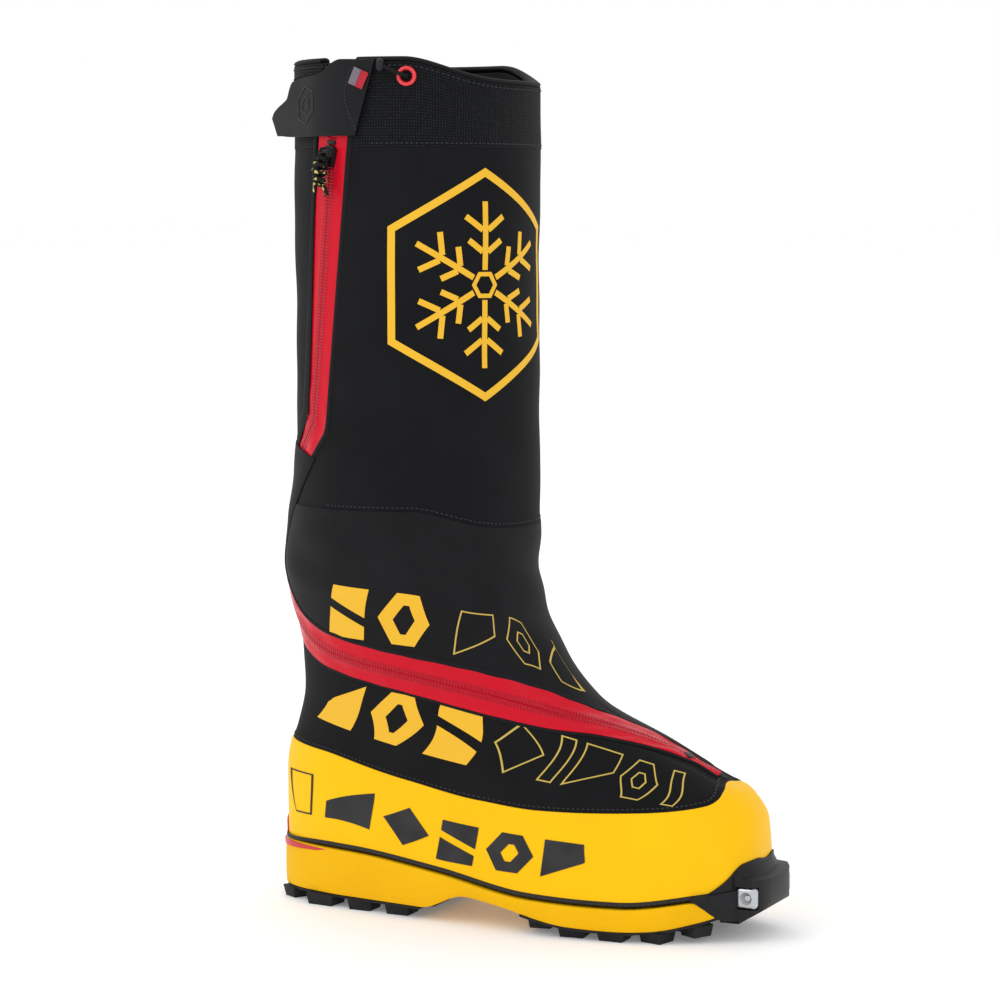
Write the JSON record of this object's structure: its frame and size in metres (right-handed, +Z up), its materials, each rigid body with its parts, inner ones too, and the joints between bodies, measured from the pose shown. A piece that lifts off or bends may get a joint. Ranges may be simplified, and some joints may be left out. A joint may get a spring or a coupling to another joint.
{
  "type": "mountaineering boot",
  "caption": "Insulated double mountaineering boot with knee-high gaiter, spiral waterproof zip, padded liner, laced inner shell, crampon ledges and a steel toe fitting.",
  "frame": {"origin": "middle of the boot's bounding box, on the ground", "axes": "+X from heel to toe, +Y to the inner side of the leg (this is a right boot), +Z up the shaft"},
  "size_m": [0.3314, 0.156, 0.526],
  "materials": {
    "outsole_rubber": "matt moulded rubber",
    "welt_rubber": "satin rubber strip with stitching",
    "steel": "bead blasted",
    "red_plastic": "satin moulded plastic",
    "midsole_foam": "fine-skinned moulded foam",
    "board": "matt",
    "coated_rand": "smooth coated fabric",
    "shell_fabric": "tight dark weave",
    "collar_mesh": "open mesh over loop fabric",
    "lining_fabric": "brushed padded lining",
    "binding": "folded woven tape",
    "coated_zip": "glossy waterproof coating",
    "zip_coil": "moulded coil",
    "zip_metal": "black paint",
    "cord": "braided",
    "strap_rubber": "smooth rubberised",
    "tag_fabric": "woven",
    "red_enamel": "gloss enamel",
    "inner_shell": "matt laminate"
  },
  "bodies": {
    "boot": {"outsole_heel": "outsole_rubber", "outsole_forefoot": "outsole_rubber", "toe_fitting": "steel", "heel_ledge": "red_plastic", "midsole": "midsole_foam", "welt": "welt_rubber", "lasting_board": "board", "toe_bumper": "outsole_rubber", "rubber_rand": "coated_rand", "lower_panel": "shell_fabric", "ankle_patch": "shell_fabric", "gaiter_shaft": "shell_fabric", "collar_band": "collar_mesh", "gaiter_lining": "lining_fabric", "hem_facing": "binding", "collar_binding": "binding", "zip_tape_front": "coated_zip", "zip_tape_back": "coated_zip", "zip_coil": "zip_coil", "zip_top_stop": "zip_metal", "zip_bottom_stop": "zip_metal", "hook_patch": "collar_mesh", "drawcord_eyelet": "red_enamel", "drawcord": "cord", "cord_end": "board", "inner_shell": "inner_shell", "shell_tongue": "binding", "heel_counter": "board", "lace_guides_outer": "board", "lace_guides_inner": "board", "dial_base": "board", "lace_cable_outer": "cord", "lace_cable_inner": "cord", "liner": "lining_fabric", "footbed": "lining_fabric", "liner_cuff_tape": "tag_fabric", "liner_pull_loop": "tag_fabric"},
    "zip_slider": {"zip_slider": "zip_metal"},
    "puller": {"zip_puller": "zip_metal", "pull_cord": "cord"},
    "strap": {"closure_strap": "strap_rubber", "strap_tag": "tag_fabric"},
    "dial_hub": {"dial_hub": "zip_metal"},
    "dial": {"lacing_dial": "board"}
  },
  "joints": [
    {"name": "zip_run", "type": "slide", "parent": "boot", "child": "zip_slider", "axis": [-0.1003, 0.041, -0.9941], "range_m": [0, 0.15]},
    {"name": "puller_hinge", "type": "hinge", "parent": "zip_slider", "child": "puller", "pos_m": [-0.0964, -0.07475, 0.46948], "axis": [-0.9201, 0.3764, 0.1084], "range_deg": [0, 90]},
    {"name": "strap_opening", "type": "hinge", "parent": "boot", "child": "strap", "pos_m": [-0.06564, -0.07505, 0.5], "axis": [0, 0, 1], "range_deg": [0, 110]},
    {"name": "dial_release", "type": "slide", "parent": "boot", "child": "dial_hub", "axis": [1, 0, 0], "range_m": [0, 0.0025]},
    {"name": "dial_turn", "type": "hinge", "parent": "dial_hub", "child": "dial", "pos_m": [-0.02283, 0.00243, 0.26201], "axis": [1, 0, 0], "continuous": true}
  ]
}
